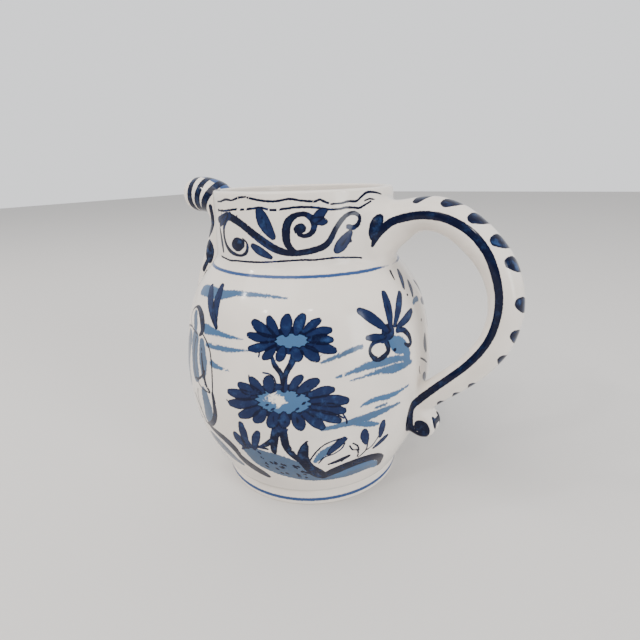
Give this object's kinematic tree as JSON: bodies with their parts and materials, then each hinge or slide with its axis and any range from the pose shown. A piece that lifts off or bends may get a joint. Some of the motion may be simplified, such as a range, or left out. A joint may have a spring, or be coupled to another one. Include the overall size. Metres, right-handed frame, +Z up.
{
  "type": "posset pot",
  "caption": "Round-bellied glazed earthenware posset pot with a tall painted collar, a looped strap handle ending in a scroll, and a bored spout that climbs the wall opposite.",
  "frame": {"origin": "centre of the flat underside, on the axis of the round body", "axes": "+Z up along the body's axis, +X towards the handle, the spout towards -X"},
  "size_m": [0.2082, 0.1418, 0.1713],
  "materials": {
    "glaze": "glossy off-white tin glaze with cobalt blue brush painting"
  },
  "bodies": {
    "root": {"posset_pot": "glaze"}
  },
  "joints": []
}
